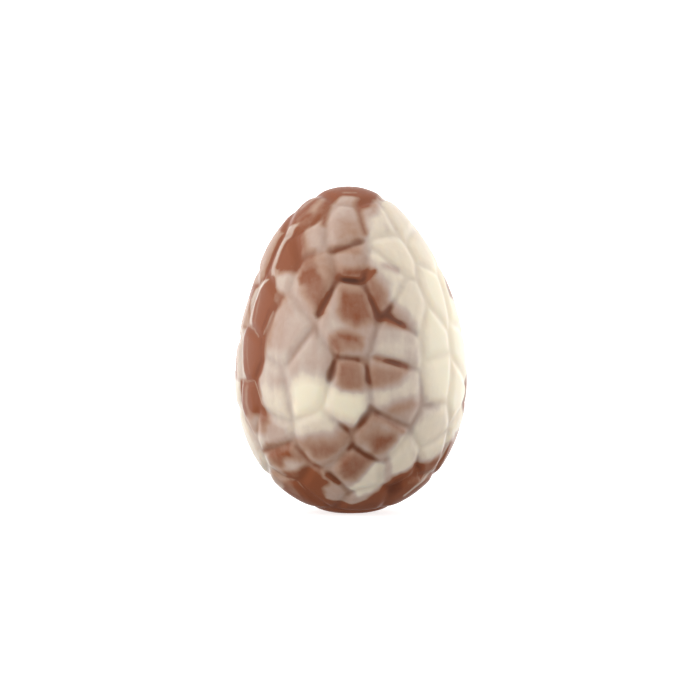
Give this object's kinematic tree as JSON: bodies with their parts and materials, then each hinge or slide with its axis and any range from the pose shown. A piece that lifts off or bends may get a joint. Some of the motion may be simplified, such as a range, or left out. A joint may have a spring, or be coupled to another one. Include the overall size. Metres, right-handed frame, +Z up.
{
  "type": "chocolate egg",
  "caption": "Moulded egg of marbled milk and white chocolate, with a crackled surface of low cushions and narrow grooves, standing on a small flat foot.",
  "frame": {"origin": "middle of the flat foot the egg stands on", "axes": "+Z up along the egg to its sharper end, -Y towards the front, which is the side shown, and +X to the right of someone who looks at the front"},
  "size_m": [0.1068, 0.1072, 0.1498],
  "materials": {
    "marbled_chocolate": "satin"
  },
  "bodies": {
    "root": {"chocolate_egg": "marbled_chocolate"}
  },
  "joints": []
}
